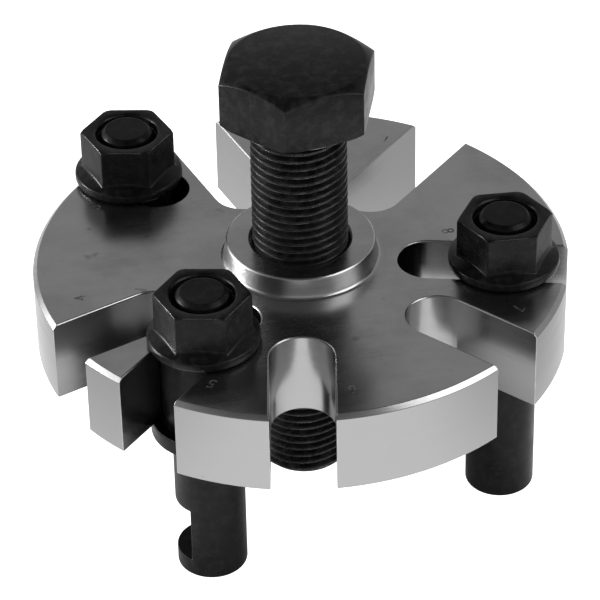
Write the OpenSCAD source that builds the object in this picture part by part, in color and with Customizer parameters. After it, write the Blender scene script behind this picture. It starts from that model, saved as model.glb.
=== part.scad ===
// Pulley puller: a slotted round plate with a raised threaded boss, a hexagon-headed
// forcing screw through it, and three hooked legs held in the slots by flange nuts.
// The origin is on the screw axis, on the plane that the legs stand on, with +Z up.

/* [Plate] */
// Diameter of the plate
plate_d = 122; // [112:1:150]
// Thickness of the plate
plate_t = 20; // [14:0.5:26]
// Bevel round the plate's upper rim
top_bevel = 1; // [0.4:0.1:2]
// Bevel round the plate's lower rim
bottom_bevel = 0.5; // [0.2:0.1:1]
// Width of every leg slot
slot_w = 14.4; // [13.4:0.1:16]
// Distance from the centre to the axis of a deep slot's round end
deep_slot_r = 29.3; // [28:0.1:32]
// Distance from the centre to the axis of a shallow slot's round end
shallow_slot_r = 39; // [34:0.5:42]
// Distance from the centre to the axis of the shortest slot's round end
short_slot_r = 43.4; // [40:0.1:44]
// Directions of the four deep slots, in degrees
deep_slot_angles = [42.5, 103, 223, 341.3]; // [0:0.1:360]
// Directions of the three shallow slots, in degrees
shallow_slot_angles = [199, 256.7, 307.8]; // [0:0.1:360]
// Direction of the shortest slot, in degrees
short_slot_angle = 127; // [120:0.5:130]
// Bevel along the upper and the lower edge of every slot
slot_bevel = 0.3; // [0.1:0.05:0.5]
// Least wall between a slot's round end and the slot beside it
slot_web = 1.4; // [0.8:0.1:1.4]

/* [Boss] */
// Diameter of the boss at its foot
boss_foot_d = 35; // [32:0.5:38]
// Diameter of the boss at its top
boss_top_d = 34; // [30:0.2:36]
// Height of the boss above the plate
boss_h = 5; // [3:0.5:8]
// Radius of the fillet at the foot of the boss
boss_fillet = 1.2; // [0.5:0.1:2]
// Bevel at the top edge of the boss
boss_bevel = 0.35; // [0.3:0.05:1.2]
// Width and depth of the bevel at the mouths of the threaded bore
mouth_bevel = 0.9; // [0.5:0.1:1.5]

/* [Forcing screw] */
// Outside diameter of the thread
screw_d = 21.8; // [20:0.1:23]
// Length of the shank below the head
screw_len = 93.5; // [80:0.5:110]
// Height of the head's underside above the plate
screw_out = 37.7; // [30:0.1:45]
// Width across the flats of the head
head_af = 32; // [30:0.5:34]
// Height of the head
head_h = 14; // [11:0.5:16]
// Diameter of the circle in which the head's turned bevel starts
head_crown_d = 30.4; // [28:0.2:33]
// Turn of the head about its axis, in degrees
head_turn = 8; // [0:1:59]
// Length of the cone at the screw's tip
tip_cone = 1.5; // [0.5:0.1:3]

/* [Legs] */
// Diameter of the hooked shank
leg_d = 16; // [15:0.1:17]
// Length of a leg below the plate
leg_drop = 42.1; // [38:0.1:55]
// Diameter of the collar under the plate
collar_d = 25.2; // [23:0.1:27]
// Thickness of the collar
collar_t = 4.5; // [3:0.1:6]
// Diameter of the keyed neck, over its round ends
neck_d = 20; // [18:0.1:21]
// Play between the neck's flats and the slot, on each side
neck_play = 0.1; // [0.05:0.05:0.3]
// Outside diameter of the stud
stud_d = 12; // [10:0.1:12]
// Height of a stud's end above its nut
stud_out = 0.7; // [0.2:0.1:2]
// Thickness of the hook's toe
toe_t = 4.6; // [3:0.1:6]
// Height of the notch above the toe
notch_h = 14.2; // [8:0.1:16]
// Depth of the notch, from the shank's surface
notch_depth = 3.5; // [2:0.1:5]
// Distance from the centre to leg 1, leg 2 and leg 3
leg_r = [52.4, 38.7, 46.2]; // [37:0.1:56]
// Turn of each notch from the outward direction of its slot, in degrees
notch_turn = [304, 304, 124]; // [0:1:359]

/* [Flange nuts] */
// Width across the flats of a nut
nut_af = 19; // [18:0.5:20]
// Height of a nut, with its flange
nut_h = 12.5; // [11:0.5:15]
// Diameter of the circle in which a nut's turned bevel starts
nut_crown_d = 20.6; // [17:0.2:21.4]
// Diameter of the flange
flange_d = 25.2; // [23.6:0.1:27]
// Thickness of the flange at its edge
flange_edge = 2.5; // [1.5:0.1:3]
// Slope of the flange's upper face, in degrees
flange_slope = 20; // [10:1:40]
// Diameter of the countersink at the top of a nut
sink_d = 15; // [13:0.1:16]
// Turn of each nut about its axis, in degrees from the +X direction
nut_turn = [45.7, 45.1, 53.4]; // [0:0.1:60]

/* [Fits] */
// Radial play between the screw and its bore, and between a stud and its nut
thread_play = 0.05; // [0.02:0.01:0.1]
// Gap between the plate and each face that seats on it
seat_gap = 0.05; // [0.02:0.01:0.2]

/* [Hidden] */
$fn = 96;
eps = 0.01;

plate_z = leg_drop;
plate_top = plate_z + plate_t;
bore_d = screw_d + 2 * thread_play;
screw_seat_z = plate_top + screw_out;
tip_z = screw_seat_z - screw_len;
neck_flats = slot_w - 2 * neck_play;
neck_sunk = 0.4;
stud_top = plate_top + seat_gap + nut_h + stud_out;
nut_bore_d = stud_d + 2 * thread_play;
hex_bevel_slope = 30;
leg_angle = [short_slot_angle, deep_slot_angles[2], deep_slot_angles[3]];
slot_angles = concat(deep_slot_angles, shallow_slot_angles, [short_slot_angle]);
steel_grey = [0.55, 0.55, 0.56];
oxide_black = [0.09, 0.09, 0.10];

// Distance across the corners of a hexagon of width af across its flats
function corners(af) = af / cos(30);

// Angle from direction a to the nearest other slot
function next_slot(a) =
    min([for (b = slot_angles) if (b != a) min((a - b + 360) % 360, (b - a + 360) % 360)]);

// Radius of a slot's end axis: r, or further out where the wall to the next slot would be too thin
function end_r(a, r) = max(r, (slot_w + slot_web) / sin(next_slot(a)));

// Solid disc with a bevel of its own at each end
module bevelled_disc(d, h, low, high) {
    rotate_extrude()
        polygon([[0, 0], [d / 2 - low, 0], [d / 2, low], [d / 2, h - high],
                 [d / 2 - high, h], [0, h]]);
}

// Bevel along both sides of a slot and round its inner end, widest at height b
module slot_edge() {
    b = slot_bevel + eps;
    side = slot_w / 2;
    cylinder(d1 = slot_w, d2 = slot_w + 2 * b, h = b);
    rotate([90, 0, 90])
        linear_extrude(plate_d)
            polygon([[-side, 0], [side, 0], [side + b, b], [-side - b, b]]);
}

// Through slot from its round inner end, at inner_r, out past the rim
module slot_cut(angle, inner_r) {
    rotate([0, 0, angle])
        translate([inner_r, 0, 0]) {
            translate([0, 0, plate_z - 1])
                cylinder(d = slot_w, h = plate_t + 2);
            translate([0, -slot_w / 2, plate_z - 1])
                cube([plate_d, slot_w, plate_t + 2]);
            translate([0, 0, plate_top - slot_bevel])
                slot_edge();
            translate([0, 0, plate_z + slot_bevel])
                mirror([0, 0, 1])
                    slot_edge();
        }
}

// Raised boss with a filleted foot, a slightly tapered flank and a bevelled top edge
module boss() {
    foot_r = boss_foot_d / 2;
    top_r = boss_top_d / 2;
    fillet = [for (a = [0 : 15 : 90])
        [foot_r + boss_fillet * (1 - sin(a)), boss_fillet * (1 - cos(a))]];
    translate([0, 0, plate_top])
        rotate_extrude()
            polygon(concat([[0, -1], [foot_r + boss_fillet, -1]], fillet,
                           [[top_r, boss_h - boss_bevel], [top_r - boss_bevel, boss_h], [0, boss_h]]));
}

// Bevel at one mouth of the bore, widest at height z
module bore_mouth(z, up) {
    translate([0, 0, z])
        mirror([0, 0, up ? 0 : 1])
            translate([0, 0, -mouth_bevel])
                cylinder(d1 = bore_d, d2 = bore_d + 2 * (mouth_bevel + eps), h = mouth_bevel + eps);
}

// Thick round plate with eight open slots and the threaded bore for the screw
module plate() {
    color(steel_grey)
        difference() {
            union() {
                translate([0, 0, plate_z])
                    bevelled_disc(plate_d, plate_t, bottom_bevel, top_bevel);
                boss();
            }
            translate([0, 0, plate_z - 1])
                cylinder(d = bore_d, h = plate_t + boss_h + 2);
            bore_mouth(plate_top + boss_h, true);
            bore_mouth(plate_z, false);
            for (a = deep_slot_angles)
                slot_cut(a, deep_slot_r);
            for (a = shallow_slot_angles)
                slot_cut(a, end_r(a, shallow_slot_r));
            slot_cut(short_slot_angle, end_r(short_slot_angle, short_slot_r));
        }
}

// Hexagon prism with its top corners turned off at 30 degrees, outside a circle of crown_d
module hexagon(af, h, crown_d) {
    crown_r = crown_d / 2;
    skirt_r = max(corners(af), crown_r + 1);
    drop = (skirt_r - crown_r) * tan(hex_bevel_slope);
    intersection() {
        cylinder(d = corners(af), h = h, $fn = 6);
        rotate_extrude()
            polygon([[0, 0], [skirt_r, 0], [skirt_r, h - drop], [crown_r, h], [0, h]]);
    }
}

// Fully threaded screw: its thread's outside surface, a coned tip, a neck ring and the head
module forcing_screw() {
    relief = 1;
    color(oxide_black)
        union() {
            translate([0, 0, tip_z])
                rotate_extrude()
                    polygon([[0, 0], [screw_d / 2 - tip_cone, 0], [screw_d / 2, tip_cone],
                             [screw_d / 2, screw_len + eps], [0, screw_len + eps]]);
            translate([0, 0, screw_seat_z])
                cylinder(d = 0.94 * head_af, h = relief);
            translate([0, 0, screw_seat_z + relief / 2])
                rotate([0, 0, head_turn])
                    hexagon(head_af, head_h - relief / 2, head_crown_d);
        }
}

// Places its children in the slot of leg i, with +X pointing outwards along the slot
module at_leg(i) {
    rotate([0, 0, leg_angle[i]])
        translate([leg_r[i], 0, 0])
            children();
}

// Round neck with two flats, which slides in the slot and can't turn in it
module keyed_neck() {
    intersection() {
        translate([0, 0, plate_z - seat_gap - eps])
            cylinder(d = neck_d, h = plate_t + seat_gap + eps - neck_sunk);
        translate([-neck_d, -neck_flats / 2, plate_z - 1])
            cube([2 * neck_d, neck_flats, plate_t + 1]);
    }
}

// Round shank with the notch that leaves the hook's toe, before its turn in the slot
module hooked_shank() {
    foot_bevel = 0.5;
    difference() {
        bevelled_disc(leg_d, leg_drop - seat_gap - eps, foot_bevel, 0);
        translate([leg_d / 2 - notch_depth, -leg_d, toe_t])
            cube([leg_d, 2 * leg_d, notch_h]);
    }
}

// Leg turned in one piece: shank with its hook, collar, keyed neck and threaded stud
module leg(i) {
    collar_bevel = 0.8;
    stud_bevel = 1;
    color(oxide_black)
        at_leg(i)
            union() {
                rotate([0, 0, notch_turn[i]])
                    hooked_shank();
                translate([0, 0, plate_z - seat_gap - collar_t])
                    bevelled_disc(collar_d, collar_t, collar_bevel, 0.3);
                keyed_neck();
                translate([0, 0, plate_z])
                    bevelled_disc(stud_d, stud_top - plate_z, 0, stud_bevel);
            }
}

// Hexagon nut with a conical flange and a countersunk upper mouth
module flange_nut(i) {
    edge_r = flange_d / 2;
    foot_bevel = 0.8;
    edge_bevel = 0.5;
    hex_r = nut_af / 2;
    slope_h = (edge_r - hex_r) * tan(flange_slope);
    sink_depth = (sink_d - nut_bore_d) / 2;
    color(oxide_black)
        at_leg(i)
            translate([0, 0, plate_top + seat_gap])
                difference() {
                    union() {
                        rotate_extrude()
                            polygon([[0, 0], [edge_r - foot_bevel, 0], [edge_r, foot_bevel],
                                     [edge_r, flange_edge - edge_bevel],
                                     [edge_r - edge_bevel, flange_edge],
                                     [hex_r, flange_edge + slope_h], [0, flange_edge + slope_h]]);
                        rotate([0, 0, nut_turn[i] - leg_angle[i]])
                            hexagon(nut_af, nut_h, nut_crown_d);
                    }
                    translate([0, 0, -1])
                        cylinder(d = nut_bore_d, h = nut_h + 2);
                    translate([0, 0, nut_h - sink_depth])
                        cylinder(d1 = nut_bore_d, d2 = sink_d + 2 * eps, h = sink_depth + eps);
                }
}

plate();
forcing_screw();
leg(0);  // leg_1
leg(1);  // leg_2
leg(2);  // leg_3
flange_nut(0);  // flange_nut_1
flange_nut(1);  // flange_nut_2
flange_nut(2);  // flange_nut_3
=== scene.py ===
"""Looks of the pulley puller: a slotted steel plate, its forcing screw, hooked legs and flange nuts."""
import cmath
import logging
import math
from dataclasses import dataclass, field
from enum import Enum
from typing import Protocol

import bmesh
import bpy
from mathutils import Matrix, Vector


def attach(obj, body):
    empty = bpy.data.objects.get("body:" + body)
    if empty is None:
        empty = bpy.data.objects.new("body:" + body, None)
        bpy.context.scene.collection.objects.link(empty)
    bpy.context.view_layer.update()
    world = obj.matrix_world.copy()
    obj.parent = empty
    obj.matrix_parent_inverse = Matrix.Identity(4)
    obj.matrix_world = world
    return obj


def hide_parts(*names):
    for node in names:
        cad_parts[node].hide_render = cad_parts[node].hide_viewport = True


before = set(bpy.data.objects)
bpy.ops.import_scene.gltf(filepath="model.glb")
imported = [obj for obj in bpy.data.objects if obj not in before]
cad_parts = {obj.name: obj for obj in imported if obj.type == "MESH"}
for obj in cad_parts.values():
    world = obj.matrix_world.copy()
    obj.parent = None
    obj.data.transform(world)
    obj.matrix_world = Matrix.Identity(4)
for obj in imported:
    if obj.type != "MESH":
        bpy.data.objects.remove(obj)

Point = tuple[float, float]
Span = tuple[float, float]
Triple = tuple[float, float, float]
Skin = tuple[list[Vector], list[tuple[int, ...]]]
Material = bpy.types.Material
NodeSocket = bpy.types.NodeSocket
NodeTree = bpy.types.NodeTree
Object = bpy.types.Object

LOG = logging.getLogger("puller")
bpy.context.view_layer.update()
MM = 0.001
# Height of the plate's upper face above the ground, and the gap at each face that seats on it, in mm
PLATE_TOP = 62.1
SEAT_GAP = 0.05
# Points this near are one in a mesh made here and in a CAD node, and edges this short go, in metres
MESH_WELD = 1e-7
NODE_WELD = 1e-6
TINY_EDGE = 1e-8
# Edges above this angle stay sharp in a mesh made here, in degrees
SHARP_ANGLE = 32.0
# On a CAD node, edges up to the first angle are flat and edges above the second are rounded, in degrees
FLAT_ANGLE = 1.0
ROUNDED_ANGLE = 25.0


class Slot(Enum):
    """Names of three material slots, which no piece in this script takes."""

    STEEL = "plate_steel"
    SCREW = "screw_black"
    NUT = "nut_black"


class Direction(Enum):
    """Ways that fine machining marks can run, as a stretch of the pattern along X, Y and Z."""

    ACROSS = (0.04, 1.0, 1.0)
    AROUND = (0.03, 0.03, 1.0)


# Node helpers

class Tree:
    """Thin wrapper that adds and joins nodes of one node tree."""

    def __init__(self, tree: NodeTree) -> None:
        """Wrap a node tree and empty it.

        Args:
            tree: the tree to fill.
        """
        self.tree = tree
        tree.nodes.clear()

    def node(self, kind: str, **settings: object) -> bpy.types.Node:
        """Add a node.

        Args:
            kind: the node's type name, without the ShaderNode prefix.
            **settings: attributes to set on it.

        Returns:
            The new node.
        """
        prefix = "" if kind.startswith("Node") else "ShaderNode"
        new = self.tree.nodes.new(prefix + kind)
        for key, value in settings.items():
            setattr(new, key, value)
        return new

    def link(self, source: NodeSocket, target: NodeSocket) -> None:
        """Join an output to an input."""
        self.tree.links.new(source, target)

    def feed(self, target: NodeSocket, value: object) -> None:
        """Set an input to a value, or join it to an output.

        Args:
            target: the input.
            value: a number, a vector, the three channels of a colour, or an output socket.
        """
        if isinstance(value, NodeSocket):
            self.link(value, target)
        elif target.type == "RGBA":
            target.default_value = (*value, 1.0)
        else:
            target.default_value = value

    def feed_by_name(self, node: bpy.types.Node, **values: object) -> None:
        """Feed several inputs of a node.

        Args:
            node: the node.
            **values: what each input gets, by its name with spaces written as underscores.
        """
        for key, value in values.items():
            self.feed(node.inputs[key.replace("_", " ")], value)

    def math(self, operation: str, *values: object, clamp: bool = False) -> NodeSocket:
        """Add a Math node.

        Args:
            operation: the node's operation.
            *values: its inputs, as numbers or outputs.
            clamp: whether the result is held to 0 and 1.

        Returns:
            The result.
        """
        new = self.node("Math", operation=operation, use_clamp=clamp)
        for target, value in zip(new.inputs, values):
            self.feed(target, value)
        return new.outputs[0]

    def between(self, factor: object, first: object, second: object) -> NodeSocket:
        """Move from one value to another.

        Args:
            factor: how far to move, from 0 to 1.
            first: the value at 0.
            second: the value at 1.

        Returns:
            The value reached.
        """
        return self.math("MULTIPLY_ADD", factor, self.math("SUBTRACT", second, first), first)

    def vector(self, operation: str, first: object, second: object = (0.0, 0.0, 0.0)) -> NodeSocket:
        """Add a Vector Math node.

        Args:
            operation: the node's operation.
            first: its first input.
            second: its second input, where the operation has one.

        Returns:
            The vector, or the value where the operation gives one.
        """
        new = self.node("VectorMath", operation=operation)
        self.feed(new.inputs[0], first)
        self.feed(new.inputs[1], second)
        return new.outputs["Value" if operation in ("DOT_PRODUCT", "LENGTH") else "Vector"]

    def ramp(self, value: object, low: object, high: object,
             start: float = 0.0, end: float = 1.0) -> NodeSocket:
        """Map a span of values smoothly onto another.

        Args:
            value: the value to map.
            low: the value that becomes start.
            high: the value that becomes end.
            start: the result at low.
            end: the result at high.

        Returns:
            The mapped value.
        """
        new = self.node("MapRange", interpolation_type="SMOOTHSTEP")
        self.feed_by_name(new, Value=value, From_Min=low, From_Max=high, To_Min=start, To_Max=end)
        return new.outputs["Result"]

    def mix(self, factor: object, first: object, second: object) -> NodeSocket:
        """Mix two colours.

        Args:
            factor: how much of the second colour shows.
            first: the first colour.
            second: the second colour.

        Returns:
            The mixed colour.
        """
        new = self.node("Mix", data_type="RGBA", clamp_factor=True)
        enabled = [target for target in new.inputs if target.enabled]
        for target, value in zip(enabled, (factor, first, second)):
            self.feed(target, value)
        return next(made for made in new.outputs if made.enabled)

    def noise(self, position: object, scale: object, detail: float = 3.0,
              roughness: float = 0.55) -> NodeSocket:
        """Add a noise pattern.

        Args:
            position: where it is read.
            scale: its scale, in cells a metre.
            detail: its octaves.
            roughness: the strength of the finer octaves.

        Returns:
            The pattern, from 0 to 1.
        """
        new = self.node("TexNoise", noise_dimensions="3D")
        self.feed_by_name(new, Vector=position, Scale=scale, Detail=detail, Roughness=roughness)
        return new.outputs["Fac"]


class MaterialTree(Tree):
    """Tree of a new material, whose patterns lie in the piece's own coordinates."""

    def __init__(self, name: str) -> None:
        """Make the empty material.

        Args:
            name: its name.
        """
        self.material = bpy.data.materials.new(name)
        self.material.use_nodes = True
        super().__init__(self.material.node_tree)
        self.place = self.node("TexCoord").outputs["Object"]

    def away(self, centre: Triple = (0.0, 0.0, 0.0), stretch: Triple = (1.0, 1.0, 0.0)) -> NodeSocket:
        """Distance from a point, or from the vertical line through it.

        Args:
            centre: the point, in metres.
            stretch: how much a step along each axis counts.

        Returns:
            The distance, in metres.
        """
        beside = self.vector("SUBTRACT", self.place, centre)
        return self.vector("LENGTH", self.vector("MULTIPLY", beside, stretch))

    def bump(self, height: NodeSocket, strength: float, depth: float) -> NodeSocket:
        """Add a Bump node.

        Args:
            height: the pattern that it raises.
            strength: how much of the relief shows.
            depth: height of the relief, in metres.

        Returns:
            The bent normal.
        """
        new = self.node("Bump")
        self.feed_by_name(new, Height=height, Strength=strength, Distance=depth)
        return new.outputs["Normal"]

    def principled(self, **values: object) -> NodeSocket:
        """Add the Principled BSDF and feed its inputs by name."""
        new = self.node("BsdfPrincipled")
        self.feed_by_name(new, **values)
        return new.outputs["BSDF"]

    def finish(self, surface: NodeSocket) -> Material:
        """Join the surface to the output and hand the material over."""
        self.feed_by_name(self.node("OutputMaterial"), Surface=surface)
        return self.material


class EffectGroup:
    """A shader node group with named inputs and one named output, built once."""

    def __init__(self, name: str, inputs: dict[str, object], output: str) -> None:
        """Make the empty group.

        Args:
            name: the group's name.
            inputs: each further input's name and default, a number or a vector.
            output: the name of its value output.
        """
        self.group = bpy.data.node_groups.new(name, "ShaderNodeTree")
        face = self.group.interface
        face.new_socket("Position", in_out="INPUT", socket_type="NodeSocketVector")
        for key, default in inputs.items():
            kind = "NodeSocketVector" if isinstance(default, tuple) else "NodeSocketFloat"
            face.new_socket(key, in_out="INPUT", socket_type=kind).default_value = default
        face.new_socket(output, in_out="OUTPUT", socket_type="NodeSocketFloat")
        self.inside = Tree(self.group)
        self.source = self.inside.node("NodeGroupInput").outputs
        self.sink = self.inside.node("NodeGroupOutput").inputs[output]

    def use(self, tree: MaterialTree, **values: object) -> NodeSocket:
        """Place the group in a material.

        Args:
            tree: the material's tree.
            **values: its inputs by name, apart from the position.

        Returns:
            The group's output.
        """
        new = tree.node("Group", node_tree=self.group)
        tree.feed_by_name(new, Position=tree.place, **values)
        return new.outputs[0]


class Effects:
    """The node groups that the finishes share."""

    def __init__(self) -> None:
        """Build every group."""
        self.marks = self._marks()
        self.wear = self._wear()
        self.smudge = self._smudge()
        self.specks = self._specks()

    @staticmethod
    def _marks() -> EffectGroup:
        """Fine machining marks, stretched along one way.

        Returns:
            The group.
        """
        coarser = 0.21
        coarse_share = 0.45
        contrast = (0.3, 0.7)
        made = EffectGroup("machining_marks", {"Stretch": (1.0, 1.0, 1.0), "Scale": 2600.0}, "Marks")
        inside, source = made.inside, made.source
        place = inside.vector("MULTIPLY", source["Position"], source["Stretch"])
        fine = inside.noise(place, source["Scale"], 2.0, 0.6)
        coarse = inside.noise(place, inside.math("MULTIPLY", source["Scale"], coarser), 2.0, 0.5)
        inside.link(inside.ramp(inside.between(coarse_share, fine, coarse), *contrast), made.sink)
        return made

    @staticmethod
    def _wear() -> EffectGroup:
        """Mask of the outer edges, broken up by noise.

        Returns:
            The group, whose Turn is how far the surface turns at an edge that is fully worn.
        """
        least_turn = 0.01
        patch_scale = 420.0
        patch_span = (0.36, 0.62)
        least_worn = 0.35
        made = EffectGroup("edge_wear", {"Width": 0.0004, "Turn": 0.16, "Amount": 1.0}, "Wear")
        inside, source = made.inside, made.source
        bevel = inside.node("Bevel", samples=6)
        inside.link(source["Width"], bevel.inputs["Radius"])
        flat = inside.node("NewGeometry").outputs["Normal"]
        turned = inside.math("SUBTRACT", 1.0, inside.vector("DOT_PRODUCT", bevel.outputs[0], flat))
        edge = inside.ramp(turned, least_turn, source["Turn"])
        patches = inside.noise(source["Position"], patch_scale, 4.0)
        broken = inside.ramp(patches, *patch_span, least_worn, 1.0)
        worn = inside.math("MULTIPLY", edge, broken)
        inside.link(inside.math("MULTIPLY", worn, source["Amount"], clamp=True), made.sink)
        return made

    @staticmethod
    def _smudge() -> EffectGroup:
        """Soft oily patches.

        Returns:
            The group.
        """
        finer = 7.0
        fine_share = 0.25
        contrast = (0.42, 0.62)
        made = EffectGroup("oil_smudges", {"Scale": 60.0}, "Smudge")
        inside, source = made.inside, made.source
        broad = inside.noise(source["Position"], source["Scale"], 3.0, 0.5)
        fine = inside.noise(source["Position"], inside.math("MULTIPLY", source["Scale"], finer), 2.0)
        inside.link(inside.ramp(inside.between(fine_share, broad, fine), *contrast), made.sink)
        return made

    @staticmethod
    def _specks() -> EffectGroup:
        """Scattered tiny pits and dust grains.

        Returns:
            The group.
        """
        bare_share = 0.82
        made = EffectGroup("pit_specks", {"Scale": 450.0, "Size": 0.12}, "Specks")
        inside, source = made.inside, made.source
        cells = inside.node("TexVoronoi", feature="F1")
        inside.feed_by_name(cells, Vector=source["Position"], Scale=source["Scale"])
        near = inside.math("LESS_THAN", cells.outputs["Distance"], source["Size"])
        hue = inside.node("SeparateColor")
        inside.link(cells.outputs["Color"], hue.inputs[0])
        rare = inside.math("GREATER_THAN", hue.outputs[0], bare_share)
        inside.link(inside.math("MULTIPLY", near, rare), made.sink)
        return made


# Finishes, with lengths in metres and the scales of patterns in cells a metre

@dataclass(frozen=True)
class GroundSteel:
    """Ground and lightly oiled bare steel, with turned and milled walls. The walls take a darker colour,
    partly for their milled finish and partly as painted shade that dims their reflection of the bright
    floor; on the boss flank the turning marks let a lighter colour back through in streaks.
    """

    name: str = "ground_steel"
    tone: Triple = (0.45, 0.45, 0.45)
    dull_tone: Triple = (0.385, 0.385, 0.385)
    stain_tone: Triple = (0.26, 0.26, 0.255)
    # Colour of the walls: partly their milled finish, partly painted shade that dims their reflection of
    # the floor
    milled_and_shaded_wall_tone: Triple = (0.3, 0.3, 0.3)
    edge_tone: Triple = (0.75, 0.75, 0.75)
    pit_tone: Triple = (0.2, 0.2, 0.195)
    flank_tone: Triple = (0.46, 0.46, 0.46)
    wall_upness: Span = (0.75, 0.45)
    boss_reach: Span = (0.0178, 0.0182)
    ground_scale: float = 1500.0
    turned_scale: float = 2400.0
    smudge_scale: float = 34.0
    cloud_scale: float = 110.0
    cloud_share: float = 0.35
    stain_scale: float = 150.0
    stain_span: Span = (0.7, 0.76)
    stain_share: float = 0.7
    pit_scale: float = 380.0
    pit_size: float = 0.1
    pit_share: float = 0.35
    wear_width: float = 0.0003
    wear_turn: float = 0.16
    wear: float = 0.8
    face_roughness: float = 0.2
    face_marks: float = 0.05
    smudge_roughness: float = 0.05
    wall_roughness: float = 0.2
    wall_marks: float = 0.06
    flank_roughness: float = 0.33
    flank_marks: float = 0.5
    relief: float = 0.03
    relief_depth: float = 0.00004

    def build(self, effects: Effects) -> Material:
        """Make the material.

        Args:
            effects: the shared groups.

        Returns:
            The material.
        """
        tree = MaterialTree(self.name)
        facing = tree.node("SeparateXYZ")
        tree.link(tree.node("NewGeometry").outputs["Normal"], facing.inputs[0])
        wall = tree.ramp(tree.math("ABSOLUTE", facing.outputs["Z"]), *self.wall_upness)
        flank = tree.math("MULTIPLY", wall, tree.ramp(tree.away(), *self.boss_reach, 1.0, 0.0))
        ground = effects.marks.use(tree, Stretch=Direction.ACROSS.value, Scale=self.ground_scale)
        turned = effects.marks.use(tree, Stretch=Direction.AROUND.value, Scale=self.turned_scale)
        smudge = effects.smudge.use(tree, Scale=self.smudge_scale)
        tone = self._face_tone(tree, effects, smudge)
        # Painted shade, partly milled finish: the walls take the darker wall colour
        tone = tree.mix(wall, tone, self.milled_and_shaded_wall_tone)
        # The boss flank takes a lighter colour back from the painted wall shade, in streaks of the turning
        # marks
        lighter = tree.math("MULTIPLY_ADD", turned, self.flank_marks, 1.0 - self.flank_marks)
        tone = tree.mix(tree.math("MULTIPLY", flank, lighter), tone, self.flank_tone)
        wear = effects.wear.use(tree, Width=self.wear_width, Turn=self.wear_turn, Amount=self.wear)
        tone = tree.mix(wear, tone, self.edge_tone)
        pits = effects.specks.use(tree, Scale=self.pit_scale, Size=self.pit_size)
        tone = tree.mix(tree.math("MULTIPLY", pits, self.pit_share), tone, self.pit_tone)
        face = tree.math("MULTIPLY_ADD", ground, self.face_marks, self.face_roughness)
        face = tree.math("MULTIPLY_ADD", smudge, self.smudge_roughness, face)
        side = tree.math("MULTIPLY_ADD", turned, self.wall_marks, self.wall_roughness)
        side = tree.between(flank, side, self.flank_roughness)
        normal = tree.bump(tree.between(wall, ground, turned), self.relief, self.relief_depth)
        return tree.finish(tree.principled(Metallic=1.0, Base_Color=tone,
                                           Roughness=tree.between(wall, face, side), Normal=normal))

    def _face_tone(self, tree: MaterialTree, effects: Effects, smudge: NodeSocket) -> NodeSocket:
        """Colour of the flat faces, dulled in clouds and stained in spots.

        Args:
            tree: the material's tree.
            effects: the shared groups.
            smudge: the broad patches.

        Returns:
            The colour.
        """
        cloud = effects.smudge.use(tree, Scale=self.cloud_scale)
        dull = tree.between(self.cloud_share, smudge, cloud)
        stain = tree.ramp(tree.noise(tree.place, self.stain_scale, 2.0), *self.stain_span)
        tone = tree.mix(dull, self.tone, self.dull_tone)
        return tree.mix(tree.math("MULTIPLY", stain, self.stain_share), tone, self.stain_tone)


@dataclass(frozen=True)
class EtchedSteel:
    """Matt grey of shallow etched marks."""

    name: str = "etched_steel"
    tone: Triple = (0.16, 0.16, 0.16)
    faint_tone: Triple = (0.34, 0.34, 0.34)
    patch_scale: float = 300.0
    roughness: float = 0.55
    patch_roughness: float = -0.1

    def build(self, effects: Effects) -> Material:
        """Make the material.

        Args:
            effects: the shared groups.

        Returns:
            The material.
        """
        tree = MaterialTree(self.name)
        patchy = effects.smudge.use(tree, Scale=self.patch_scale)
        tone = tree.mix(patchy, self.tone, self.faint_tone)
        rough = tree.math("MULTIPLY_ADD", patchy, self.patch_roughness, self.roughness)
        return tree.finish(tree.principled(Metallic=1.0, Base_Color=tone, Roughness=rough))


@dataclass(frozen=True, kw_only=True)
class BlackOxide:
    """Blackened and oiled steel, rubbed lighter along its edges."""

    name: str
    shine: float
    wear: float
    scuffs: float
    tone: Triple = (0.004, 0.004, 0.0043)
    faded_tone: Triple = (0.009, 0.009, 0.0095)
    scuff_tone: Triple = (0.036, 0.036, 0.037)
    worn_tone: Triple = (0.42, 0.42, 0.42)
    turned_scale: float = 2200.0
    smudge_scale: float = 90.0
    smudge_share: float = 0.6
    scuff_scale: float = 480.0
    scuff_span: Span = (0.42, 0.7)
    wear_width: float = 0.00034
    wear_turn: float = 0.07
    speck_scale: float = 700.0
    speck_size: float = 0.1
    speck_share: float = 0.05
    roughness: float = 0.2
    turned_roughness: float = 0.08
    smudge_roughness: float = 0.1
    grain_scale: float = 5200.0
    grain_share: float = 0.6
    relief: float = 0.12
    relief_depth: float = 0.00005

    def build(self, effects: Effects) -> Material:
        """Make the material.

        Args:
            effects: the shared groups.

        Returns:
            The material.
        """
        tree = MaterialTree(self.name)
        smudge = effects.smudge.use(tree, Scale=self.smudge_scale)
        scuffed = tree.ramp(tree.noise(tree.place, self.scuff_scale, 4.0, 0.62), *self.scuff_span)
        wear = effects.wear.use(tree, Width=self.wear_width, Turn=self.wear_turn, Amount=self.wear)
        specks = effects.specks.use(tree, Scale=self.speck_scale, Size=self.speck_size)
        tone = tree.mix(tree.math("MULTIPLY", smudge, self.smudge_share), self.tone, self.faded_tone)
        tone = tree.mix(tree.math("MULTIPLY", scuffed, self.scuffs), tone, self.scuff_tone)
        tone = tree.mix(wear, tone, self.worn_tone)
        tone = tree.mix(tree.math("MULTIPLY", specks, self.speck_share), tone, self.worn_tone)
        turned = effects.marks.use(tree, Stretch=Direction.AROUND.value, Scale=self.turned_scale)
        rough = tree.math("MULTIPLY_ADD", turned, self.turned_roughness, self.roughness)
        rough = tree.math("MULTIPLY_ADD", smudge, self.smudge_roughness, rough)
        grain = tree.noise(tree.place, self.grain_scale, 2.0)
        height = tree.between(self.grain_share, turned, grain)
        normal = tree.bump(height, self.relief, self.relief_depth)
        return tree.finish(tree.principled(Specular_IOR_Level=self.shine, Base_Color=tone, Metallic=wear,
                                           Roughness=rough, Normal=normal))


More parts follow.
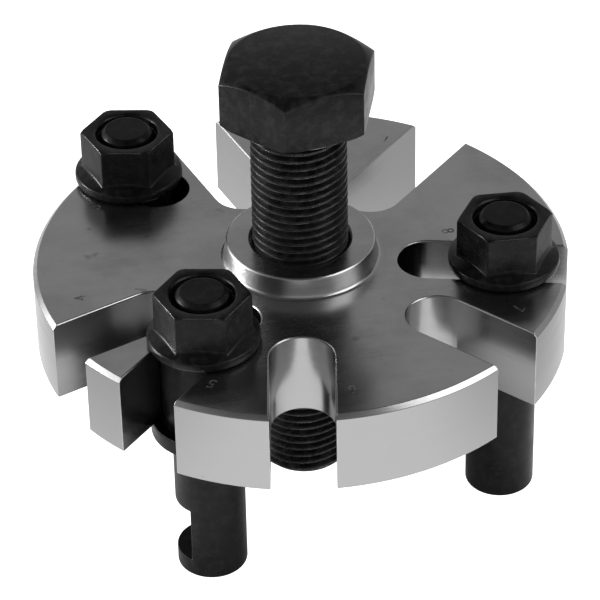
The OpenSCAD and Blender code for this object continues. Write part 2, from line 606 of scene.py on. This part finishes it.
@dataclass(frozen=True)
class PaleFloor:
    """Plain pale floor with the faintest mottle, clear when seen from below.

    The camera sees it white. Reflections see a softer glow that fades away from the middle, and a
    shade under the puller.
    """

    name: str = "pale_floor"
    tone: Triple = (0.45, 0.45, 0.45)
    mottle_tone: Triple = (0.4365, 0.4365, 0.4365)
    black: Triple = (0.0, 0.0, 0.0)
    mottle_scale: float = 12.0
    mottle_share: float = 0.03
    roughness: float = 0.9
    shine: float = 0.1
    glow: float = 1.4
    far_glow: float = 0.55
    reach: Span = (0.05, 0.15)
    middle: Triple = (-0.01, -0.11, 0.0)
    stretch: Triple = (0.9, 0.5, 0.0)
    shade: float = 0.15
    shade_reach: Span = (0.035, 0.075)

    def build(self) -> Material:
        """Make the material.

        Returns:
            The material.
        """
        tree = MaterialTree(self.name)
        mottle = tree.noise(tree.place, self.mottle_scale, 2.0)
        shown = (self.glow,) * 3
        far = (self.far_glow,) * 3
        fade = tree.ramp(tree.away(self.middle, self.stretch), *self.reach)
        shade = tree.ramp(tree.away(), *self.shade_reach, 1.0 - self.shade, 0.0)
        mirrored = tree.mix(shade, tree.mix(fade, shown, far), self.black)
        glow = tree.mix(tree.node("LightPath").outputs["Is Camera Ray"], mirrored, shown)
        surface = tree.principled(Base_Color=tree.mix(mottle, self.tone, self.mottle_tone),
                                  Roughness=self.roughness, Specular_IOR_Level=self.shine,
                                  Emission_Strength=1.0,
                                  Emission_Color=tree.mix(tree.math("MULTIPLY", mottle, self.mottle_share),
                                                          glow, self.black))
        sides = tree.node("MixShader")
        tree.link(tree.node("NewGeometry").outputs["Backfacing"], sides.inputs[0])
        tree.link(surface, sides.inputs[1])
        tree.link(tree.node("BsdfTransparent").outputs[0], sides.inputs[2])
        return tree.finish(sides.outputs[0])


# Mesh helpers

def circle(radius: float, count: int, turn: float = 0.0) -> list[Point]:
    """Points of a circle.

    Args:
        radius: its radius, in mm.
        count: how many points.
        turn: the first point's angle, in degrees.

    Returns:
        The points, anticlockwise.
    """
    start = math.radians(turn)
    step = math.tau / count
    return [(radius * math.cos(start + i * step), radius * math.sin(start + i * step))
            for i in range(count)]


def rounded_hexagon(across: float, corner: float, count: int, turn: float) -> list[Point]:
    """Points of a hexagon with rounded corners.

    Args:
        across: width across the flats, in mm.
        corner: radius of its corners, in mm.
        count: how many points, a multiple of six.
        turn: angle of the first corner, in degrees.

    Returns:
        The points, anticlockwise from the middle of the first corner.
    """
    reach = (across / 2 - corner) / math.cos(math.radians(30))
    here, following = complex(reach), cmath.rect(reach, math.radians(60))
    leaving = [here + cmath.rect(corner, math.radians(angle)) for angle in (0, 15, 30)]
    arriving = [following + cmath.rect(corner, math.radians(angle)) for angle in (30, 45)]
    gaps = count // 6 - len(leaving) - len(arriving) + 1
    flat = [leaving[-1] + (arriving[0] - leaving[-1]) * i / gaps for i in range(1, gaps)]
    corners = [cmath.rect(1.0, math.radians(turn + 60 * k)) for k in range(6)]
    points = [point * way for way in corners for point in leaving + flat + arriving]
    return [(point.real, point.imag) for point in points]


@dataclass
class RingStack:
    """Closed rings with the same number of points, laid into a watertight skin."""

    name: str
    rings: list[list[Vector]] = field(default_factory=list)

    def add(self, points: list[Point], height: float | list[float]) -> None:
        """Add a ring.

        Args:
            points: its points in plan, in mm.
            height: one height for all of them or one for each, in mm.
        """
        heights = height if isinstance(height, list) else [height] * len(points)
        self.rings.append([Vector((x, y, z)) * MM for (x, y), z in zip(points, heights)])

    def build(self, below: Skin | None = None) -> Object:
        """Make the object.

        Args:
            below: a skin whose upper loop is the first ring. With it, the last ring is capped.
                Without it, the last ring joins the first, as round a bore.

        Returns:
            The object, at the origin.
        """
        count = len(self.rings[0])
        layers = len(self.rings)
        verts = [point for ring in self.rings for point in ring]
        faces: list[tuple[int, ...]] = []
        for layer in range(layers if below is None else layers - 1):
            low = layer * count
            high = (layer + 1) % layers * count
            for i in range(count):
                j = (i + 1) % count
                faces.append((low + i, low + j, high + j, high + i))
        if below is not None:
            cap = len(verts)
            verts.append(sum(self.rings[-1], Vector()) / count)
            last = (layers - 1) * count
            faces.extend((last + i, last + (i + 1) % count, cap) for i in range(count))
            low_verts, low_faces = below
            shift = len(verts)
            verts.extend(low_verts)
            faces.extend(tuple(shift + i for i in face) for face in low_faces)
        mesh = bpy.data.meshes.new(self.name)
        mesh.from_pydata(verts, [], faces)
        return finished(mesh)


@dataclass
class Hexagon:
    """Six-sided section whose rings share their directions from the axis; lengths in mm.

    The rows of edge_rings round the edge at an end face: each moves in by its first number and
    drops by its second, as shares of edge. The rows of face_rings lie on the end face: each moves in
    by its first number, as a share of edge, and keeps within its second number of the chamfer's start.
    """

    across: float
    turn: float
    count: int = 96
    corner: float = 0.35
    edge: float = 0.3
    slope: float = math.tan(math.radians(30))
    edge_rings: tuple[Point, ...] = ((0.0, 1.0), (0.14, 0.55), (0.4, 0.18), (0.9, 0.0))
    face_rings: tuple[Point, ...] = ((1.4, 0.15), (2.2, -0.15))

    def __post_init__(self) -> None:
        """Work out the outline and its distance from the axis in each direction."""
        self.outline = rounded_hexagon(self.across, self.corner, self.count, self.turn)
        self.reach = [math.hypot(x, y) for x, y in self.outline]

    def ring(self, radii: float | list[float]) -> list[Point]:
        """Points at one distance or at given distances from the axis.

        Args:
            radii: one distance, or one for each direction.

        Returns:
            The points.
        """
        lengths = radii if isinstance(radii, list) else [radii] * self.count
        return [(x * length / r, y * length / r)
                for (x, y), r, length in zip(self.outline, self.reach, lengths)]

    def grown(self, amount: float) -> list[float]:
        """Distances of the outline moved outwards by an amount."""
        return [r + amount for r in self.reach]

    def add_end(self, stack: RingStack, face: float, crown: float, way: int = 1) -> None:
        """Add the rounded edge, the turned chamfer and the rim of an end face.

        Args:
            stack: the stack that it goes on.
            face: height of the end face.
            crown: radius where the chamfer starts.
            way: 1 for a face that looks up, -1 for one that looks down.
        """
        rings = [(self.grown(-inset * self.edge), drop * self.edge) for inset, drop in self.edge_rings]
        rings += [([min(r - inset * self.edge, crown + shift) for r in self.reach], 0.0)
                  for inset, shift in self.face_rings]
        for radii, drop in rings[::way]:
            heights = [face - way * (max(0.0, r - crown) * self.slope + drop) for r in radii]
            stack.add(self.ring(radii), heights)


def finished(mesh: bpy.types.Mesh) -> Object:
    """Weld, clean and smooth a mesh and link it.

    Args:
        mesh: the mesh, which has the object's name.

    Returns:
        The object.
    """
    work = bmesh.new()
    work.from_mesh(mesh)
    bmesh.ops.remove_doubles(work, verts=work.verts, dist=MESH_WELD)
    bmesh.ops.dissolve_degenerate(work, edges=work.edges, dist=TINY_EDGE)
    bmesh.ops.recalc_face_normals(work, faces=work.faces)
    work.to_mesh(mesh)
    work.free()
    for polygon in mesh.polygons:
        polygon.use_smooth = True
    mesh.set_sharp_from_angle(angle=math.radians(SHARP_ANGLE))
    made = bpy.data.objects.new(mesh.name, mesh)
    bpy.context.scene.collection.objects.link(made)
    return made


def dress(piece: Object, material: Material) -> None:
    """Give a piece one material in all its slots."""
    if not piece.data.materials:
        piece.data.materials.append(material)
    for i in range(len(piece.data.materials)):
        piece.data.materials[i] = material


def soften_node(node: Object, width: float) -> None:
    """Round the edges of a CAD node by modifiers, without touching its mesh.

    Args:
        node: the node's object.
        width: width of the rounding, in mm.
    """
    weld = node.modifiers.new("weld", "WELD")
    weld.merge_threshold = NODE_WELD
    flats = node.modifiers.new("flats", "DECIMATE")
    flats.decimate_type = "DISSOLVE"
    flats.angle_limit = math.radians(FLAT_ANGLE)
    edge = node.modifiers.new("edge", "BEVEL")
    edge.width = width * MM
    edge.segments = 2
    edge.limit_method = "ANGLE"
    edge.angle_limit = math.radians(ROUNDED_ANGLE)
    edge.use_clamp_overlap = False
    normals = node.modifiers.new("normals", "WEIGHTED_NORMAL")
    normals.keep_sharp = True


# Sub-assemblies

class SubAssembly(Protocol):
    """Anything that builds its pieces in one material."""

    def build(self, material: Material) -> list[Object]:
        """Build and dress the pieces."""


@dataclass
class KeptNode:
    """A piece that keeps its CAD node and gets rounded edges; lengths in mm."""

    node: str
    edge: float

    def build(self, material: Material) -> list[Object]:
        """Round and dress the node.

        Args:
            material: what it is made of.

        Returns:
            The piece.
        """
        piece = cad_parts[self.node]
        soften_node(piece, self.edge)
        dress(piece, material)
        return [piece]


@dataclass
class Plate(KeptNode):
    """The slotted plate with its boss."""

    node: str = "plate"
    edge: float = 0.12


@dataclass
class Leg(KeptNode):
    """A hooked leg with its collar, neck and stud."""

    edge: float = 0.22


@dataclass
class SlotNumbers:
    """Plain numbers etched beside the slots, their tops towards the rim; lengths in mm.

    Each place is a direction from the axis, in degrees, and a distance from it.
    """

    size: float = 4.2
    half_thickness: float = 0.01
    places: tuple[Point, ...] = ((53.2, 51.4), (91.0, 52.0), (143.0, 52.0), (184.3, 51.7),
                                 (234.6, 51.8), (268.7, 52.0), (321.8, 53.0), (0.6, 34.7))
    body: str = "plate"

    def build(self, material: Material) -> list[Object]:
        """Etch every number.

        Args:
            material: matt grey steel.

        Returns:
            The pieces.
        """
        return [self._number(i, *place, material) for i, place in enumerate(self.places, 1)]

    def _number(self, number: int, angle: float, radius: float, material: Material) -> Object:
        """Etch one number.

        Args:
            number: the number.
            angle: its direction from the axis, in degrees.
            radius: its distance from the axis.
            material: matt grey steel.

        Returns:
            The piece.
        """
        data = bpy.data.curves.new(f"slot_number_{number}", "FONT")
        data.body = str(number)
        data.align_x = "CENTER"
        data.align_y = "CENTER"
        data.size = self.size * MM
        data.extrude = self.half_thickness * MM
        data.resolution_u = 3
        made = bpy.data.objects.new(data.name, data)
        way = math.radians(angle)
        made.location = Vector((radius * math.cos(way), radius * math.sin(way),
                                PLATE_TOP + self.half_thickness)) * MM
        made.rotation_euler = (0.0, 0.0, way - math.pi / 2)
        bpy.context.scene.collection.objects.link(made)
        dress(made, material)
        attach(made, self.body)
        return made


@dataclass
class ForcingScrew:
    """Screw with a cut thread, a washer face and a chamfered hexagon head; lengths in mm.

    The flank goes from the thread's root to its crest, as shares of half a pitch and of its depth.
    """

    pitch: float = 2.0
    crest_r: float = 10.9
    root_r: float = 9.72
    crest_flat: float = 0.22
    flank: tuple[Point, ...] = ((0.0, 0.0), (0.12, 0.02), (0.24, 0.12), (0.56, 0.62), (0.68, 0.8),
                                (0.8, 0.93))
    crest_edge: float = 0.985
    lead_in: float = 1.25
    seat_z: float = PLATE_TOP + 37.7
    tip_z: float = 6.3
    tip_r: float = 9.4
    head_across: float = 32.0
    head_h: float = 14.0
    head_crown_r: float = 15.2
    head_foot_r: float = 17.2
    head_turn: float = 8.0
    washer_r: float = 15.04
    washer_h: float = 1.0
    washer_edge: float = 0.15
    columns: int = 96
    body: str = "screw"

    def build(self, material: Material) -> list[Object]:
        """Build the screw.

        Args:
            material: black oxide.

        Returns:
            The piece.
        """
        head = Hexagon(self.head_across, self.head_turn, self.columns)
        stack = RingStack("forcing_screw_body")
        washer_top = self.seat_z + self.washer_h
        stack.add(circle(self.crest_r, self.columns, self.head_turn), self.seat_z)
        stack.add(head.ring(self.washer_r - self.washer_edge), self.seat_z)
        stack.add(head.ring(self.washer_r), self.seat_z + self.washer_edge)
        stack.add(head.ring(self.washer_r), washer_top)
        head.add_end(stack, washer_top, self.head_foot_r, -1)
        head.add_end(stack, self.seat_z + self.head_h, self.head_crown_r)
        screw = stack.build(self._thread_with_tip())
        dress(screw, material)
        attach(screw, self.body)
        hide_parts("forcing_screw")
        return [screw]

    def _profile(self) -> list[Point]:
        """Heights and radii of the thread over one pitch.

        Returns:
            Pairs of height above the root's middle and radius.
        """
        half = self.pitch / 2
        depth = self.crest_r - self.root_r
        crest = ((1 - self.crest_flat / self.pitch, self.crest_edge), (1.0, 1.0))
        rising = [(share * half, self.root_r + part * depth) for share, part in self.flank + crest]
        falling = [(self.pitch - z, r) for z, r in reversed(rising[1:-1])]
        return rising + falling

    def _held(self, z: float, radius: float) -> float:
        """Radius of the thread held to the tip's cone and the run-out under the head.

        Args:
            z: height, in mm.
            radius: the thread's own radius there.

        Returns:
            The radius that is cut.
        """
        left = self.seat_z - z
        if z <= self.tip_z:
            return self.tip_r
        if left <= 0:
            return self.crest_r
        radius = min(radius, self.tip_r + (z - self.tip_z))
        if left < self.pitch:
            fade = 1 - left / self.pitch
            radius += fade * fade * (self.crest_r - radius)
        return radius

    def _thread(self) -> Skin:
        """Skin of the thread from the tip to the head.

        Returns:
            Its vertices and faces.
        """
        profile = self._profile()
        per = len(profile)
        steps = math.ceil((self.seat_z - self.tip_z) / self.pitch + 2) * self.columns
        verts = []
        for step in range(steps + 1):
            angle = math.radians(self.head_turn) + math.tau * step / self.columns
            base = self.tip_z + self.pitch * (step / self.columns - self.lead_in)
            for rise, radius in profile:
                cut = self._held(base + rise, radius)
                z = min(max(base + rise, self.tip_z), self.seat_z)
                verts.append(Vector((cut * math.cos(angle), cut * math.sin(angle), z)) * MM)
        faces = []
        for step in range(steps):
            for p in range(per):
                here = step * per + p
                above = here + 1 if p + 1 < per else (step + self.columns) * per
                if above + per < len(verts):
                    faces.append((here, here + per, above + per, above))
        return verts, faces

    def _thread_with_tip(self) -> Skin:
        """The thread's skin closed by the flat of the tip.

        Returns:
            Its vertices and faces.
        """
        verts, faces = self._thread()
        rim = len(verts)
        verts.extend(Vector((x, y, self.tip_z)) * MM
                     for x, y in circle(self.tip_r, self.columns, self.head_turn))
        centre = len(verts)
        verts.append(Vector((0, 0, self.tip_z)) * MM)
        faces.extend((rim + (i + 1) % self.columns, rim + i, centre) for i in range(self.columns))
        return verts, faces


@dataclass(frozen=True)
class NutSeat:
    """Where a nut sits: its distance from the screw's axis in mm, its direction and its turn in degrees."""

    distance: float
    direction: float
    turn: float


@dataclass
class FlangeNut:
    """A flange nut with a conical flange and a countersunk mouth; lengths in mm.

    Each row of fillet is a step out from the flats and a rise above the cone, and each row of mouth
    is a radius and a depth below the top.
    """

    number: int
    seat: NutSeat
    across: float = 19.0
    height: float = 12.5
    crown_r: float = 10.3
    flange_r: float = 12.6
    flange_edge: float = 2.5
    cone_top: float = 3.63
    foot_round: float = 0.8
    foot_angles: tuple[int, ...] = (0, 30, 60, 90)
    edge_round: float = 0.7
    edge_angles: tuple[int, ...] = (0, 23, 46, 67)
    fillet: tuple[Point, ...] = ((0.55, 0.0), (0.27, 0.07), (0.08, 0.26), (0.0, 0.55))
    bore_r: float = 6.05
    bore_bevel: float = 0.3
    mouth: tuple[Point, ...] = ((7.75, 0.0), (7.62, 0.05), (7.3, 0.36), (7.2, 0.55),
                                (7.0, 1.7), (6.3, 2.4), (6.05, 2.65))

    def build(self, material: Material) -> list[Object]:
        """Build the nut.

        Args:
            material: black oxide.

        Returns:
            The piece.
        """
        body = Hexagon(self.across, self.seat.turn)
        stack = RingStack(f"flange_nut_{self.number}_body")
        stack.add(body.ring(self.bore_r), self.bore_bevel)
        stack.add(body.ring(self.bore_r + self.bore_bevel), 0.0)
        self._add_flange(stack, body)
        body.add_end(stack, self.height, self.crown_r)
        for radius, depth in self.mouth:
            stack.add(body.ring(radius), self.height - depth)
        nut = stack.build()
        way = math.radians(self.seat.direction)
        nut.location = Vector((self.seat.distance * math.cos(way), self.seat.distance * math.sin(way),
                               PLATE_TOP + SEAT_GAP)) * MM
        dress(nut, material)
        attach(nut, f"nut_{self.number}")
        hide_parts(f"flange_nut_{self.number}")
        return [nut]

    def _add_flange(self, stack: RingStack, body: Hexagon) -> None:
        """Add the flange's rounded foot and edge, its cone and the fillet where the flats rise from it.

        Args:
            stack: the stack that it goes on.
            body: the hexagon above it.
        """
        for angle in map(math.radians, self.foot_angles):
            stack.add(body.ring(self.flange_r - self.foot_round * (1 - math.sin(angle))),
                      self.foot_round * (1 - math.cos(angle)))
        edge_in = self.flange_r - self.edge_round
        for angle in map(math.radians, self.edge_angles):
            stack.add(body.ring(edge_in + self.edge_round * math.cos(angle)),
                      self.flange_edge - self.edge_round * (1 - math.sin(angle)))
        slope = (self.cone_top - self.flange_edge) / (edge_in - self.across / 2)
        for out, rise in self.fillet:
            radii = body.grown(out)
            stack.add(body.ring(radii), [self.flange_edge + (edge_in - r) * slope + rise for r in radii])


# Studio

@dataclass(frozen=True)
class PhotoCamera:
    """Camera at the photograph's angle; lengths in mm, angles in degrees."""

    azimuth: float = -12.96
    elevation: float = 35.73
    roll: float = 1.19
    lens: float = 197.06
    sensor: float = 36.0
    target: Triple = (0.0, 0.0, PLATE_TOP)
    offset: Point = (0.39, 10.41)
    distance: float = 747.76
    nearest: float = 10.0

    def build(self) -> None:
        """Make the camera and set it as the scene's."""
        turn, tilt, roll = (math.radians(v) for v in (self.azimuth, self.elevation, self.roll))
        right = Vector((math.cos(turn), math.sin(turn), 0))
        level = Vector((-math.sin(turn), math.cos(turn), 0))
        ahead = math.cos(tilt) * level - math.sin(tilt) * Vector((0, 0, 1))
        up = math.sin(tilt) * level + math.cos(tilt) * Vector((0, 0, 1))
        place = Vector(self.target) - self.offset[0] * right - self.offset[1] * up - self.distance * ahead
        side = math.cos(roll) * right - math.sin(roll) * up
        head = math.sin(roll) * right + math.cos(roll) * up
        data = bpy.data.cameras.new("photo_camera")
        data.lens = self.lens
        data.sensor_width = self.sensor
        data.clip_start = self.nearest * MM
        made = bpy.data.objects.new("photo_camera", data)
        turned = Matrix((side, head, -ahead)).transposed().to_4x4()
        made.matrix_world = Matrix.Translation(place * MM) @ turned
        bpy.context.scene.collection.objects.link(made)
        bpy.context.scene.camera = made


@dataclass(frozen=True)
class SoftBox:
    """A rectangular soft light that looks at the puller; lengths in metres, angles in degrees."""

    name: str
    azimuth: float
    elevation: float
    distance: float
    size: tuple[float, float]
    power: float
    aim: Triple = (0.0, 0.0, 0.06)

    def build(self) -> None:
        """Make the light."""
        data = bpy.data.lights.new(self.name, "AREA")
        data.shape = "RECTANGLE"
        data.size, data.size_y = self.size
        data.energy = self.power
        turn, rise = math.radians(self.azimuth), math.radians(self.elevation)
        way = Vector((math.sin(turn) * math.cos(rise), -math.cos(turn) * math.cos(rise), math.sin(rise)))
        made = bpy.data.objects.new(self.name, data)
        made.location = Vector(self.aim) + way * self.distance
        made.rotation_euler = way.to_track_quat("Z", "Y").to_euler()
        bpy.context.scene.collection.objects.link(made)


@dataclass(frozen=True)
class Studio:
    """Pale floor, soft boxes and soft surroundings, whose glow depends on the height of the direction."""

    floor_radius: float = 4000.0
    floor_z: float = -0.05
    floor_sides: int = 64
    low_glow: float = 0.6
    mid_glow: float = 0.4
    high_glow: float = 0.08
    low_span: Span = (0.0, 0.3)
    high_span: Span = (0.62, 0.82)
    front_dim: float = 0.9
    front_span: Span = (-0.15, -0.6)
    boxes: tuple[SoftBox, ...] = (
        SoftBox("front_right_box", 57.0, 38.0, 1.2, (0.75, 0.8), 5.0),
        SoftBox("left_box", -114.0, 22.0, 1.2, (1.05, 0.7), 3.7),
        SoftBox("left_strip", -112.0, 12.0, 1.2, (0.4, 0.2), 12.0),
    )

    def build(self) -> None:
        """Make the floor, the lights and the surroundings."""
        self._floor()
        for box in self.boxes:
            box.build()
        self._surroundings()

    def _floor(self) -> None:
        """Make the floor, just below the legs' feet; its lengths are in mm."""
        rim = [Vector((x, y, self.floor_z)) * MM for x, y in circle(self.floor_radius, self.floor_sides)]
        mesh = bpy.data.meshes.new("floor")
        mesh.from_pydata(rim, [], [tuple(range(len(rim)))])
        floor = bpy.data.objects.new("floor", mesh)
        bpy.context.scene.collection.objects.link(floor)
        dress(floor, PaleFloor().build())

    def _surroundings(self) -> None:
        """Light the world by height above the horizon, a little less in front."""
        world = bpy.data.worlds.new("studio")
        bpy.context.scene.world = world
        world.use_nodes = True
        tree = Tree(world.node_tree)
        way = tree.node("SeparateXYZ")
        tree.link(tree.node("TexCoord").outputs["Generated"], way.inputs[0])
        low = tree.ramp(way.outputs["Z"], *self.low_span, self.low_glow, self.mid_glow)
        high = tree.ramp(way.outputs["Z"], *self.high_span, 0.0, self.high_glow - self.mid_glow)
        front = tree.ramp(way.outputs["Y"], *self.front_span, 1.0, self.front_dim)
        glow = tree.node("Background")
        strength = tree.math("MULTIPLY", tree.math("ADD", low, high), front)
        tree.feed_by_name(glow, Color=(1.0, 1.0, 1.0), Strength=strength)
        tree.link(glow.outputs[0], tree.node("OutputWorld").inputs[0])


def main() -> None:
    """Build every sub-assembly in order and report its pieces."""
    logging.basicConfig(level=logging.INFO, format="%(name)s: %(message)s")
    bpy.context.scene.view_settings.view_transform = "Standard"
    effects = Effects()
    steel = GroundSteel().build(effects)
    etched = EtchedSteel().build(effects)
    screw_black = BlackOxide(name="screw_oxide", shine=0.16, wear=1.0, scuffs=0.42,
                             grain_scale=2600.0, relief=0.5).build(effects)
    leg_black = BlackOxide(name="leg_oxide", shine=0.11, wear=0.3, scuffs=0.2,
                           wear_turn=0.16, roughness=0.26).build(effects)
    nut_black = BlackOxide(name="nut_oxide", shine=0.17, wear=1.0, scuffs=0.3).build(effects)
    seats = (NutSeat(52.4, 127.0, 45.7), NutSeat(38.7, 223.0, 45.1), NutSeat(46.2, 341.3, 53.4))
    jobs: list[tuple[str, SubAssembly, Material]] = [
        ("plate", Plate(), steel),
        ("numbers", SlotNumbers(), etched),
        ("screw", ForcingScrew(), screw_black),
    ]
    jobs += [(f"leg {i}", Leg(f"leg_{i}"), leg_black) for i in range(1, len(seats) + 1)]
    jobs += [(f"nut {i}", FlangeNut(i, seat), nut_black) for i, seat in enumerate(seats, 1)]
    for title, part, material in jobs:
        for piece in part.build(material):
            LOG.info("%s: %s, %s", title, piece.name, piece.data.materials[0].name)
    PhotoCamera().build()
    Studio().build()


if __name__ == "__main__":
    main()
